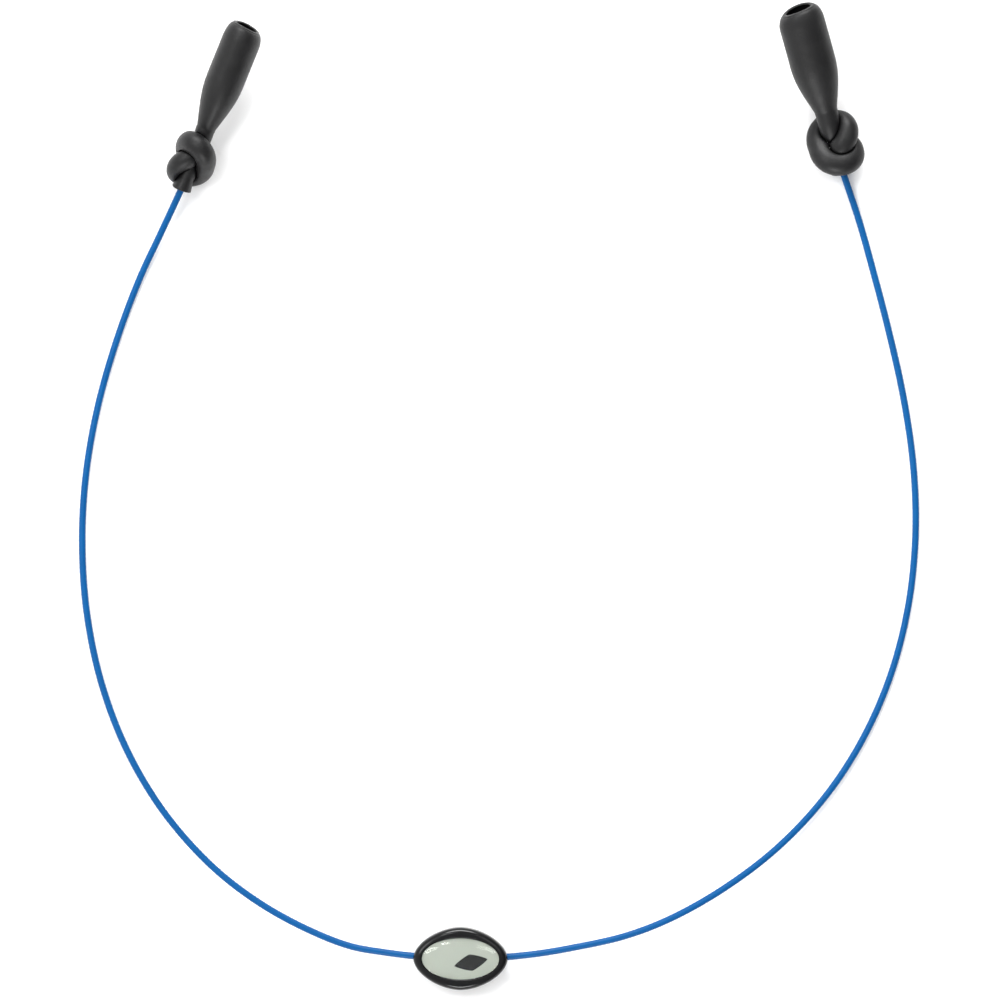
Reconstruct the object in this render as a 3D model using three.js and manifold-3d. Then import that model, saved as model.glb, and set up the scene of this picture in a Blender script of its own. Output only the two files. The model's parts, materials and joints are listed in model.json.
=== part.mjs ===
// Low-profile eyewear retainer: a springy coated steel cable in a U, a silicone temple grip
// knotted onto each end, and an oval medallion that slides and turns on the cable behind the neck.
// The strap lies flat on a table: +Z is up, +Y runs from the medallion to the open ends.
// The origin is on the table, under the middle of the box of the two grips and the medallion.
import * as THREE from "three";
import { mergeVertices } from "three/addons/utils/BufferGeometryUtils.js";
import Module from "manifold-3d";

// ---- driving dimensions, millimetres and degrees ----

const CABLE_DIAMETER = 1.2; // over the blue coating
const JACKET_WALL = 0.16;
const ROPE_DIAMETER = 0.66; // stainless wire rope inside the coating
const CABLE_SIDES = 8;
const CABLE_STEPS = 80;

const ARC_CENTRE = [-8.8, 13.5]; // centre of the level arc that the medallion travels on
const ARC_RADIUS = 93.1;
const ARC_HALF_ANGLE = 12;
const ARC_STEP = 4;
const BEAD_ANGLE = -0.55; // where the medallion rests, from straight below the arc's centre
const BORE_HEIGHT = 2.3; // cable's height above the table at the medallion

const GRIP_LENGTH = 30.4; // tail to the middle of the mouth
const SLEEVE_WIDTH = 8.0;
const FLATNESS = 0.83; // thin side of the oval tube over its wide side
const SLEEVE_WALL = 0.85;
const SOCKET_DEPTH = 14;
const SOCKET_TIP = 1.5; // blind end past the full bore
const RIM_WIDTH = 5.8;
const RIM_LENGTH = 2.6; // stretch over which the sleeve rounds in to its rim
const NECK_WIDTH = 4.0;
const NECK_PLACE = 11.5; // waist between knot and sleeve, from the tail
const NECK_TAPER = 1.6; // the tube opens out to the waist over this length
const SHOULDER_LENGTH = 9;
const SHOULDER_EASE = 1.2; // above 1 the sleeve leaves the neck gently
const KNOT_TUBE = 2.7; // diameter that the tube is pulled down to in the knot
const KNOT_SLACK = 0.12; // gap between passes of the knotted tube
const KNOT_PLACE = 5.3; // middle of the knot, from the tail
const KNOT_CORE = 4.4; // where the passes press together the knot is solid this far across
const SLANT_REACH = 7; // a mouth's slant dies away over this length
const TAIL_WIDTH = 4.2; // the cut end of the tube flares again past the knot
const TAIL_FLARE = 2.0;

const FERRULE_DIAMETER = 1.6;
const FERRULE_LENGTH = 1.2;
const FERRULE_PLACE = 1.0; // its near end, from the tail
const FERRULE_CLEARANCE = 0.1;
const FERRULE_CHAMFER = 0.2;
const ROPE_CLEARANCE = 0.07; // wire rope in the ferrule
const TAIL_BORE_CLEARANCE = 0.1; // cable in the tail's mouth
const FUNNEL_WIDTH = 2.8; // open mouth of the tail round the cable
const FUNNEL_DEPTH = 0.6;
const JACKET_END = 0.8; // the coating stops this far inside the tail

const BEAD_LENGTH = 16.3;
const BEAD_WIDTH = 10.8;
const BEAD_EDGE = 1.0; // rounding of the medallion's edges
const FRONT_HEIGHT = 2.7; // from the cable's axis up to the rim
const FACE_LENGTH = 13.4;
const FACE_WIDTH = 7.2;
const FACE_RECESS = 0.85;
const FACE_THICKNESS = 0.4;
const DOME_EDGE = 0.3; // resin at the oval's edge
const DOME_HEIGHT = 0.9; // resin in the middle
const INLAY_GAP = 0.06;
const BEAD_POWER = 1.75; // below 2 the ends and sides of the oval are a little pointed
const FACE_POWER = 2; // the face is an ellipse
const MOTIF_LENGTH = 5.8;
const MOTIF_WIDTH = 2.8;
const MOTIF_DEPTH = 0.22;
const MOTIF_SINK = 0.02; // the ink stands this far below the plate
const MOTIF_PLACE = [1.8, -0.6];
const MOTIF_TURN = 12;
const BORE_DIAMETER = 2.2; // through both shells
const BUSH_DIAMETER = 2.5;
const BUSH_LENGTH = 5;
const BUSH_FIT = 0.13; // between the cable and the bush
const BUSH_CLEARANCE = 0.1;
const SPLIT_GAP = 0.06;
const PEG_DIAMETER = 1.1;
const PEG_HEIGHT = 1.0;
const PEG_CLEARANCE = 0.12;
const PEG_PLACES = [[2.8, 3.2], [-2.8, -3.2]];

// X and Y where the cable leaves each grip, each grip's heading from +Y, how far its mouth is
// raised, how many tube widths the knot's middle is above the table, the turn of the wide side
// about the grip's axis, how far off square the mouth is (above 0 it is shorter on the left), and
// how far round the knot was tied from the sleeve's wide side.
const GRIPS = {
  left: {
    exit: [-57.8, 53.1],
    heading: -22.4,
    raise: 10,
    restHeight: 1.7409,
    turn: 80,
    slant: -6,
    knotTurn: 100,
  },
  right: {
    exit: [56.3, 56.1],
    heading: 16.1,
    raise: 19,
    restHeight: 1.2539,
    turn: 0,
    slant: 6,
    knotTurn: 0,
  },
};

// The cable's route between the grips and the medallion's arc: X, Y and its underside's height.
const LEFT_ROUTE = [
  [-61.4, 45.5, 1.3],
  [-65.2, 37.4, 0.25],
  [-69.2, 26.6, 0.02],
  [-72.4, 15.2, 0.02],
  [-74.4, 3.5, 0.02],
  [-75.0, -8.0, 0.02],
  [-74.2, -20.0, 0.1],
  [-71.7, -32.0, 0.3],
  [-67.3, -43.6, 0.6],
  [-61.0, -54.2, 0.95],
  [-53.1, -63.2, 1.3],
  [-45.6, -69.2, 1.55],
  [-37.7, -73.8, 1.68],
];
const RIGHT_ROUTE = [
  [18.8, -75.7, 1.68],
  [26.8, -72.6, 1.6],
  [35.8, -67.5, 1.38],
  [44.8, -60.7, 1.0],
  [52.8, -52.3, 0.6],
  [59.2, -42.8, 0.25],
  [64.2, -31.8, 0.08],
  [67.4, -20.0, 0.02],
  [68.8, -8.0, 0.02],
  [68.6, 4.0, 0.02],
  [67.0, 16.0, 0.02],
  [64.4, 28.0, 0.04],
  [61.5, 39.2, 0.02],
  [59.2, 47.4, 0.2],
];

// Half of a tightened overhand knot, from its middle out to the lead, in tube diameters.
// The other half is this one turned half a turn about the knot's y axis.
const HALF_KNOT = [
  [0, 1.06, 0],
  [-0.42, 1.02, 0.54],
  [-0.84, 0.72, 0.98],
  [-1.14, 0.18, 1.1],
  [-1.22, -0.44, 0.92],
  [-1.08, -0.86, 0.44],
  [-0.72, -0.98, -0.12],
  [-0.24, -0.74, -0.48],
  [0.2, -0.3, -0.53],
  [0.66, 0.0, -0.19],
  [1.3, 0.02, 0],
];

// ---- materials ----

const finish = (color, roughness, metalness = 0) =>
  new THREE.MeshStandardMaterial({ color, roughness, metalness });
const BLUE_NYLON = finish("#0a5eaa", 0.35);
const STEEL = finish("#b9bcc0", 0.35, 1);
const BLACK_SILICONE = finish("#1d1d1f", 0.6);
const BLACK_GLOSS = finish("#0f0f12", 0.12);
const PALE_INLAY = finish("#b4bab3", 0.45);
const DARK_INK = finish("#17191b", 0.4);
const CLEAR_RESIN = finish("#f2f6f2", 0.05);
const GREY_SILICONE = finish("#8a8d90", 0.7);

// ---- solids ----

const wasm = await Module();
wasm.setup();

function solidOf(geometry) {
  const bare = geometry.clone();
  bare.deleteAttribute("normal");
  bare.deleteAttribute("uv");
  const merged = mergeVertices(bare, 1e-4);
  return new wasm.Manifold(new wasm.Mesh({
    numProp: 3,
    vertProperties: merged.attributes.position.array,
    triVerts: new Uint32Array(merged.index.array),
  }));
}

function geometryOf(solid) {
  const mesh = solid.getMesh();
  const geometry = new THREE.BufferGeometry();
  geometry.setAttribute("position", new THREE.BufferAttribute(mesh.vertProperties, 3));
  geometry.setIndex(new THREE.BufferAttribute(mesh.triVerts, 1));
  geometry.computeVertexNormals();
  return geometry;
}

function piece(name, geometry, material) {
  const mesh = new THREE.Mesh(geometry, material);
  mesh.name = name;
  return mesh;
}

// A profile of [radius, place] pairs turned about the X axis.
function turned(profile, sides) {
  const points = profile.map(([radius, place]) => new THREE.Vector2(radius, place));
  return new THREE.LatheGeometry(points, sides).rotateZ(-Math.PI / 2);
}

// A regular outline whose flats, not its corners, are at the given radius when it is a hole.
const holeRadius = (radius, sides) => radius / Math.cos(Math.PI / sides);

function roundShape(radius, sides) {
  const shape = new THREE.Shape();
  for (let i = 0; i < sides; i++) {
    const angle = (2 * Math.PI * i) / sides;
    const [x, y] = [radius * Math.cos(angle), radius * Math.sin(angle)];
    if (i) shape.lineTo(x, y);
    else shape.moveTo(x, y);
  }
  shape.closePath();
  return shape;
}

// ---- cable ----

const overTable = ([x, y, height]) => new THREE.Vector3(x, y, height + CABLE_DIAMETER / 2);

// Unit vector from a grip's tail to its mouth.
function gripAxis({ heading, raise }) {
  const turn = THREE.MathUtils.degToRad(heading);
  const up = THREE.MathUtils.degToRad(raise);
  return new THREE.Vector3(
    -Math.sin(turn) * Math.cos(up),
    Math.cos(turn) * Math.cos(up),
    Math.sin(up),
  );
}

// Where the cable enters a grip whose knot rests on the table.
function gripExit({ exit, raise, restHeight }) {
  const rise = KNOT_PLACE * Math.sin(THREE.MathUtils.degToRad(raise));
  return new THREE.Vector3(...exit, restHeight * KNOT_TUBE - rise);
}

function arcPoint(degrees) {
  const angle = THREE.MathUtils.degToRad(degrees);
  return new THREE.Vector3(
    ARC_CENTRE[0] + ARC_RADIUS * Math.sin(angle),
    ARC_CENTRE[1] - ARC_RADIUS * Math.cos(angle),
    BORE_HEIGHT,
  );
}

// The cable's centre line, with each end running straight into its grip by the given length.
function cablePath(insideGrip) {
  const end = (grip, along) => gripExit(grip).addScaledVector(gripAxis(grip), along);
  const points = [end(GRIPS.left, insideGrip), end(GRIPS.left, 0)];
  points.push(...LEFT_ROUTE.map(overTable));
  for (let a = -ARC_HALF_ANGLE; a <= ARC_HALF_ANGLE; a += ARC_STEP) {
    points.push(arcPoint(BEAD_ANGLE + a));
  }
  points.push(...RIGHT_ROUTE.map(overTable));
  points.push(end(GRIPS.right, 0), end(GRIPS.right, insideGrip));
  return new THREE.CatmullRomCurve3(points, false, "centripetal");
}

function swept(shape, path, steps) {
  return new THREE.ExtrudeGeometry(shape, { steps, extrudePath: path, bevelEnabled: false });
}

function cable() {
  const ring = roundShape(CABLE_DIAMETER / 2, CABLE_SIDES);
  ring.holes.push(roundShape(CABLE_DIAMETER / 2 - JACKET_WALL, CABLE_SIDES));
  const rope = roundShape(ROPE_DIAMETER / 2, CABLE_SIDES);
  const ropeEnd = FERRULE_PLACE + FERRULE_LENGTH;
  return [
    piece("cable_jacket", swept(ring, cablePath(JACKET_END), CABLE_STEPS), BLUE_NYLON),
    piece("cable_core", swept(rope, cablePath(ropeEnd), CABLE_STEPS), STEEL),
  ];
}

// ---- grips ----

// The tube's centre line through the knot, from the tail at x = 0 to the neck.
function knotPath() {
  const at = ([x, y, z], side) => new THREE.Vector3(
    KNOT_PLACE + side * KNOT_TUBE * x, KNOT_TUBE * y, side * KNOT_TUBE * z);
  const tailSide = HALF_KNOT.slice(1).reverse().map((p) => at(p, -1));
  const neckSide = HALF_KNOT.map((p) => at(p, 1));
  const tail = new THREE.Vector3(0, 0, 0);
  const neck = new THREE.Vector3(NECK_PLACE - NECK_TAPER / 3, 0, 0);
  return new THREE.CatmullRomCurve3([tail, ...tailSide, ...neckSide, neck], false, "centripetal");
}

// Wide half-width of the sleeve's outside at a place along the grip.
function sleeveRadius(place) {
  const shoulder = THREE.MathUtils.clamp((place - NECK_PLACE) / SHOULDER_LENGTH, 0, 1);
  const swell = 1 - (1 - shoulder ** SHOULDER_EASE) ** 2;
  const full = THREE.MathUtils.lerp(NECK_WIDTH, SLEEVE_WIDTH, swell) / 2;
  const toRim = THREE.MathUtils.clamp((place - GRIP_LENGTH + RIM_LENGTH) / RIM_LENGTH, 0, 1);
  return full - ((SLEEVE_WIDTH - RIM_WIDTH) / 2) * (1 - Math.sqrt(1 - toRim ** 2));
}

// Places along the rounded rim, closer together where it turns in most.
function rimPlaces() {
  const steps = 4;
  return Array.from({ length: steps }, (_, i) =>
    GRIP_LENGTH - RIM_LENGTH * (1 - Math.sin((Math.PI * (i + 1)) / (2 * steps))));
}

// Moves each point near the mouth back by the slant times its Y, so that the mouth is askew.
function slanted(geometry, slant) {
  const place = geometry.attributes.position;
  const slope = Math.tan(THREE.MathUtils.degToRad(slant));
  for (let i = 0; i < place.count; i++) {
    const near = THREE.MathUtils.clamp((place.getX(i) - GRIP_LENGTH) / SLANT_REACH + 1, 0, 1);
    place.setX(i, place.getX(i) - near ** 2 * slope * place.getY(i));
  }
  return geometry;
}

const SLEEVE_SIDES = 18;
const KNOT_SIDES = 9;
const KNOT_STEPS = 58;
const PIN_SIDES = 12;

function gripSolid({ turn: gripTurn, slant, knotTurn }) {
  const turn = THREE.MathUtils.degToRad;
  const tubeRadius = (KNOT_TUBE - KNOT_SLACK) / 2;
  const leadEnd = KNOT_PLACE + HALF_KNOT.at(-1)[0] * KNOT_TUBE;
  const outside = [
    [0, leadEnd],
    [0.8 * tubeRadius, leadEnd],
    [1.1 * tubeRadius, NECK_PLACE - NECK_TAPER],
  ];
  const shoulderSteps = 6;
  for (let i = 0; i <= shoulderSteps; i++) {
    const place = NECK_PLACE + (SHOULDER_LENGTH * i) / shoulderSteps;
    outside.push([sleeveRadius(place), place]);
  }
  const rim = [GRIP_LENGTH - SLANT_REACH, GRIP_LENGTH - RIM_LENGTH, ...rimPlaces()];
  outside.push(...rim.map((place) => [sleeveRadius(place), place]), [0, GRIP_LENGTH]);

  const bottom = GRIP_LENGTH - SOCKET_DEPTH;
  const socket = [[0, bottom - SOCKET_TIP]];
  const bored = [bottom, (bottom + rim[0]) / 2, ...rim];
  socket.push(...bored.map((place) => [sleeveRadius(place) - SLEEVE_WALL, place]));
  const beyond = 1;
  socket.push([RIM_WIDTH / 2 - SLEEVE_WALL, GRIP_LENGTH + beyond], [0, GRIP_LENGTH + beyond]);

  const oval = (geometry) =>
    solidOf(slanted(geometry.scale(1, 1, FLATNESS).rotateX(turn(gripTurn)), slant));
  const knot = swept(roundShape(tubeRadius, KNOT_SIDES), knotPath(), KNOT_STEPS);
  const core = new THREE.SphereGeometry(KNOT_CORE / 2, PIN_SIDES, PIN_SIDES / 2)
    .rotateZ(-Math.PI / 2)
    .translate(KNOT_PLACE, 0, 0);

  const boreRadius = holeRadius(CABLE_DIAMETER / 2 + TAIL_BORE_CLEARANCE, PIN_SIDES);
  const pocketRadius = holeRadius(FERRULE_DIAMETER / 2 + FERRULE_CLEARANCE, PIN_SIDES);
  const pocketStart = FERRULE_PLACE - FERRULE_CLEARANCE;
  const pocketEnd = FERRULE_PLACE + FERRULE_LENGTH + FERRULE_CLEARANCE;
  const tail = turned([
    [0, 0],
    [TAIL_WIDTH / 2, 0],
    [tubeRadius, TAIL_FLARE],
    [0, TAIL_FLARE],
  ], SLEEVE_SIDES);
  const tailBore = turned([
    [0, -beyond],
    [FUNNEL_WIDTH / 2, -beyond],
    [FUNNEL_WIDTH / 2, 0],
    [boreRadius, FUNNEL_DEPTH],
    [boreRadius, pocketStart],
    [pocketRadius, pocketStart],
    [pocketRadius, pocketEnd],
    [0, pocketEnd],
  ], PIN_SIDES);
  return oval(turned(outside, SLEEVE_SIDES))
    .add(oval(knot.rotateX(turn(knotTurn))))
    .add(oval(core))
    .add(oval(tail))
    .subtract(oval(turned(socket, SLEEVE_SIDES)))
    .subtract(solidOf(tailBore));
}

function ferruleGeometry() {
  const outer = FERRULE_DIAMETER / 2;
  const bore = holeRadius(ROPE_DIAMETER / 2 + ROPE_CLEARANCE, PIN_SIDES);
  const [near, far] = [FERRULE_PLACE, FERRULE_PLACE + FERRULE_LENGTH];
  return turned([
    [bore, near],
    [outer - FERRULE_CHAMFER, near],
    [outer, near + FERRULE_CHAMFER],
    [outer, far - FERRULE_CHAMFER],
    [outer - FERRULE_CHAMFER, far],
    [bore, far],
    [bore, near],
  ], PIN_SIDES);
}

// One grip with its ferrule, in a group whose X axis runs from the cable's exit to the mouth.
function grip(side) {
  const along = gripAxis(GRIPS[side]);
  const across = new THREE.Vector3(0, 0, 1).cross(along).normalize();
  const group = new THREE.Group();
  group.position.copy(gripExit(GRIPS[side]));
  group.setRotationFromMatrix(
    new THREE.Matrix4().makeBasis(along, across, along.clone().cross(across)));
  group.add(
    piece(side + "_grip", geometryOf(gripSolid(GRIPS[side])), BLACK_SILICONE),
    piece(side + "_ferrule", ferruleGeometry(), STEEL),
  );
  return group;
}

// ---- medallion, in its own frame: X along the cable, Y towards the arc's centre, Z up ----

const OVAL_POINTS = 36;
const BORE_SIDES = 14;

function ovalShape(length, width, power) {
  const shape = new THREE.Shape();
  for (let i = 0; i < OVAL_POINTS; i++) {
    const angle = (2 * Math.PI * i) / OVAL_POINTS;
    const [c, s] = [Math.cos(angle), Math.sin(angle)];
    const x = (length / 2) * Math.sign(c) * Math.abs(c) ** (2 / power);
    const y = (width / 2) * Math.sign(s) * Math.abs(s) ** (2 / power);
    if (i) shape.lineTo(x, y);
    else shape.moveTo(x, y);
  }
  shape.closePath();
  return shape;
}

// A flat-sided block on an outline, from one height to another, with rounded edges if asked.
function block(shape, low, high, edge = 0) {
  const geometry = new THREE.ExtrudeGeometry(shape, {
    depth: high - low - 2 * edge,
    bevelEnabled: edge > 0,
    bevelThickness: edge,
    bevelSize: edge,
    bevelOffset: -edge,
    bevelSegments: 3,
  });
  return geometry.translate(0, 0, low + edge);
}

// The medallion's outer body, and the channel that runs through it for cable and bush.
function beadBody() {
  const body = solidOf(
    block(ovalShape(BEAD_LENGTH, BEAD_WIDTH, BEAD_POWER), -BORE_HEIGHT, FRONT_HEIGHT, BEAD_EDGE));
  const half = BUSH_LENGTH / 2 + BUSH_CLEARANCE;
  const bore = holeRadius(BORE_DIAMETER / 2, BORE_SIDES);
  const pocket = holeRadius(BUSH_DIAMETER / 2 + BUSH_CLEARANCE, BORE_SIDES);
  const channel = turned([
    [0, -BEAD_LENGTH],
    [bore, -BEAD_LENGTH],
    [bore, -half],
    [pocket, -half],
    [pocket, half],
    [bore, half],
    [bore, BEAD_LENGTH],
    [0, BEAD_LENGTH],
  ], BORE_SIDES);
  return body.subtract(solidOf(channel));
}

function halfSpace(low, high) {
  const middle = (low + high) / 2;
  return solidOf(
    new THREE.BoxGeometry(2 * BEAD_LENGTH, 2 * BEAD_WIDTH, high - low).translate(0, 0, middle));
}

function peg(place, diameter, low, high) {
  return solidOf(new THREE.CylinderGeometry(diameter / 2, diameter / 2, high - low, PIN_SIDES)
    .rotateX(Math.PI / 2)
    .translate(...place, (low + high) / 2));
}

function motifShape(grow) {
  const [a, b] = [MOTIF_LENGTH / 2 + grow, MOTIF_WIDTH / 2 + grow];
  const turn = THREE.MathUtils.degToRad(MOTIF_TURN);
  const corners = [[a, 0], [0, b], [-a, 0], [0, -b]].map(([x, y]) => new THREE.Vector2(
    MOTIF_PLACE[0] + x * Math.cos(turn) - y * Math.sin(turn),
    MOTIF_PLACE[1] + x * Math.sin(turn) + y * Math.cos(turn)));
  return new THREE.Shape(corners);
}

const facePiece = () =>
  ovalShape(FACE_LENGTH - 2 * INLAY_GAP, FACE_WIDTH - 2 * INLAY_GAP, FACE_POWER);

// The clear drop: flat underneath, its top part of an ellipsoid that runs past the oval's edge.
function domeGeometry(low) {
  const reach = 1.3;
  const drop = 1 - Math.sqrt(1 - 1 / reach ** 2);
  const height = (DOME_HEIGHT - DOME_EDGE) / drop;
  const ellipsoid = solidOf(new THREE.SphereGeometry(1, 32, 24)
    .rotateX(Math.PI / 2)
    .scale(reach * FACE_LENGTH / 2, reach * FACE_WIDTH / 2, height)
    .translate(0, 0, low + DOME_HEIGHT - height));
  return geometryOf(solidOf(block(facePiece(), low, low + 2 * DOME_HEIGHT)).intersect(ellipsoid));
}

function medallion() {
  const group = new THREE.Group();
  const angle = THREE.MathUtils.degToRad(BEAD_ANGLE);
  group.position.copy(arcPoint(BEAD_ANGLE));
  group.rotation.z = angle;

  const body = beadBody();
  const recessFloor = FRONT_HEIGHT - FACE_RECESS;
  const faceOval = ovalShape(FACE_LENGTH, FACE_WIDTH, FACE_POWER);
  const recess = solidOf(block(faceOval, recessFloor, FRONT_HEIGHT + 1));
  let front = body.intersect(halfSpace(SPLIT_GAP / 2, FRONT_HEIGHT + 1)).subtract(recess);
  let back = body.intersect(halfSpace(-BORE_HEIGHT - 1, -SPLIT_GAP / 2));
  for (const place of PEG_PLACES) {
    const hole = PEG_DIAMETER + 2 * PEG_CLEARANCE;
    front = front.subtract(peg(place, hole, -1, PEG_HEIGHT + PEG_CLEARANCE));
    back = back.add(peg(place, PEG_DIAMETER, -1, PEG_HEIGHT));
  }

  const plateLow = recessFloor + INLAY_GAP;
  const plateHigh = plateLow + FACE_THICKNESS;
  const inlayLow = plateHigh - MOTIF_DEPTH;
  const plate = solidOf(block(facePiece(), plateLow, plateHigh));
  const seat = solidOf(block(motifShape(INLAY_GAP), inlayLow - INLAY_GAP, plateHigh + 1));
  const bushBore = holeRadius(CABLE_DIAMETER / 2 + BUSH_FIT, BORE_SIDES);
  const bush = turned([
    [bushBore, -BUSH_LENGTH / 2],
    [BUSH_DIAMETER / 2, -BUSH_LENGTH / 2],
    [BUSH_DIAMETER / 2, BUSH_LENGTH / 2],
    [bushBore, BUSH_LENGTH / 2],
    [bushBore, -BUSH_LENGTH / 2],
  ], BORE_SIDES);

  group.add(
    piece("bead_front_shell", geometryOf(front), BLACK_GLOSS),
    piece("bead_back_shell", geometryOf(back), BLACK_GLOSS),
    piece("bead_face_plate", geometryOf(plate.subtract(seat)), PALE_INLAY),
    piece("bead_motif", block(motifShape(0), inlayLow, plateHigh - MOTIF_SINK), DARK_INK),
    piece("bead_dome", domeGeometry(plateHigh + INLAY_GAP), CLEAR_RESIN),
    piece("bead_bush", bush, GREY_SILICONE),
  );
  return group;
}

const strap = new THREE.Group();
strap.add(...cable(), grip("left"), grip("right"), medallion());

export default strap;
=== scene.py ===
# An eyewear retainer: a springy coated steel cable in a U, a silicone temple grip knotted onto
# each end, and an oval medallion that slides and turns on the cable behind the neck.
import json
import math
import bpy
import numpy as np
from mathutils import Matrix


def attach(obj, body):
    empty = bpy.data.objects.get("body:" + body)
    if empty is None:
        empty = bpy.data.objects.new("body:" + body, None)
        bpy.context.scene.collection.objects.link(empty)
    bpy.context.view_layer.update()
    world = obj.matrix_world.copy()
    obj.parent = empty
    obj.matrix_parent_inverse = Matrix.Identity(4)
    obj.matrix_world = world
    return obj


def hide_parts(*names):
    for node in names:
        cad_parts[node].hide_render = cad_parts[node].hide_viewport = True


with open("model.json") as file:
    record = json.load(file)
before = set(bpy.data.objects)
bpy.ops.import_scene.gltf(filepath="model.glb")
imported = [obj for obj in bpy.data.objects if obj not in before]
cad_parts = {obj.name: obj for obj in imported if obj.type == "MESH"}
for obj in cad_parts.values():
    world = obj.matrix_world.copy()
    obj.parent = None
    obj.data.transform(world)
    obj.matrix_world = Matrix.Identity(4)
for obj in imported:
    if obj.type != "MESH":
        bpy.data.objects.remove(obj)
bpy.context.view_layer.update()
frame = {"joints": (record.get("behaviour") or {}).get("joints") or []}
joints = {joint["name"]: joint for joint in frame["joints"]}
MM = 0.001

# Camera. It hangs straight above the table, far enough off for the raised mouths of the grips
# to keep their true places, and its square view takes in the whole U.
VIEW_WIDTH = 172.7 * MM
CAMERA_PLACE = (-2.87 * MM, -0.52 * MM, 2.0)

camera_data = bpy.data.cameras.new("camera")
camera_data.lens = camera_data.sensor_width * CAMERA_PLACE[2] / VIEW_WIDTH
camera_data.clip_end = 20
camera = bpy.data.objects.new("camera", camera_data)
camera.location = CAMERA_PLACE
bpy.context.scene.collection.objects.link(camera)
bpy.context.scene.camera = camera

# Coating of the cable. Blue nylon is extruded over a stainless wire rope, so it is smooth and
# satin with the rope's lay just showing through, and its ends stop inside the grips' tails.
CABLE_DIAMETER = 1.2 * MM
JACKET_WALL = 0.16 * MM
JACKET_END = 0.8 * MM
ROPE_STRANDS = 6
ROPE_LAY = 4.6 * MM  # length in which a strand goes once round
LAY_RELIEF = 0.014 * MM
CABLE_SIDES = 24
JACKET_STEP = 0.25 * MM  # between the rings of its mesh
ROUTE_STEPS = 24  # between two points of the route
ARC_CENTRE = np.array([-8.8, 13.5]) * MM
ARC_RADIUS = 93.1 * MM
ARC_TURNS = -0.55 + 4 * np.arange(-3, 4)  # degrees from straight below the arc's centre
BORE_HEIGHT = 2.3 * MM
# Points of the cable from the grips to the arc: X, Y and the height of its underside.
LEFT_ROUTE = np.array([
    [-61.4, 45.5, 1.3],
    [-65.2, 37.4, 0.25],
    [-69.2, 26.6, 0.02],
    [-72.4, 15.2, 0.02],
    [-74.4, 3.5, 0.02],
    [-75.0, -8.0, 0.02],
    [-74.2, -20.0, 0.1],
    [-71.7, -32.0, 0.3],
    [-67.3, -43.6, 0.6],
    [-61.0, -54.2, 0.95],
    [-53.1, -63.2, 1.3],
    [-45.6, -69.2, 1.55],
    [-37.7, -73.8, 1.68],
]) * MM
RIGHT_ROUTE = np.array([
    [18.8, -75.7, 1.68],
    [26.8, -72.6, 1.6],
    [35.8, -67.5, 1.38],
    [44.8, -60.7, 1.0],
    [52.8, -52.3, 0.6],
    [59.2, -42.8, 0.25],
    [64.2, -31.8, 0.08],
    [67.4, -20.0, 0.02],
    [68.8, -8.0, 0.02],
    [68.6, 4.0, 0.02],
    [67.0, 16.0, 0.02],
    [64.4, 28.0, 0.04],
    [61.5, 39.2, 0.02],
    [59.2, 47.4, 0.2],
]) * MM


def smooth_run(points, steps):
    """A centripetal Catmull-Rom curve: each stretch is a cubic through two points, whose slopes
    there come from the points before and after, spaced by the square roots of their distances."""
    p = np.vstack([2 * points[0] - points[1], points, 2 * points[-1] - points[-2]])
    gap = np.linalg.norm(np.diff(p, axis=0), axis=1)[:, None] ** 0.5
    before, here, after = gap[:-2], gap[1:-1], gap[2:]
    a, b, c, d = p[:-3], p[1:-2], p[2:-1], p[3:]
    leave = ((b - a) / before - (c - a) / (before + here) + (c - b) / here) * here
    arrive = ((c - b) / here - (d - b) / (here + after) + (d - c) / after) * here
    t = (np.arange(steps) / steps)[None, :, None]
    b, c, leave, arrive = b[:, None], c[:, None], leave[:, None], arrive[:, None]
    run = (2 * t**3 - 3 * t**2 + 1) * b + (t**3 - 2 * t**2 + t) * leave
    run = run + (3 * t**2 - 2 * t**3) * c + (t**3 - t**2) * arrive
    return np.vstack([run.reshape(-1, 3), points[-1:]])


def distance_along(path):
    """Length of the path up to each of its points: the sum of the steps before it."""
    return np.concatenate([[0], np.cumsum(np.linalg.norm(np.diff(path, axis=0), axis=1))])


def evenly(path, step):
    """The same path with a point about every step: each coordinate read off at even lengths."""
    along = distance_along(path)
    places = np.linspace(0, along[-1], round(along[-1] / step) + 1)
    return np.stack([np.interp(places, along, path[:, axis]) for axis in range(3)], axis=1)


def tangents(path):
    """Unit directions of a path: the differences across each point, made one long."""
    ahead = np.gradient(path, axis=0)
    return ahead / np.linalg.norm(ahead, axis=1, keepdims=True)


def upright(path):
    """Normals of a nearly level path: the vertical with its part along the path taken out."""
    ahead = tangents(path)
    normal = np.array([0, 0, 1]) - ahead[:, 2:] * ahead
    return normal / np.linalg.norm(normal, axis=1, keepdims=True)


def rings(path, normal, radius, sides):
    """Rings round a path: at each angle the path's point plus the radius times the cosine along
    the normal and the sine along the binormal. The radius is a number or varies by ring and side."""
    angle = 2 * np.pi * np.arange(sides) / sides
    binormal = np.cross(tangents(path), normal)
    out = np.cos(angle)[:, None] * normal[:, None] + np.sin(angle)[:, None] * binormal[:, None]
    return path[:, None] + np.broadcast_to(radius, out.shape[:2])[..., None] * out


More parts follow.
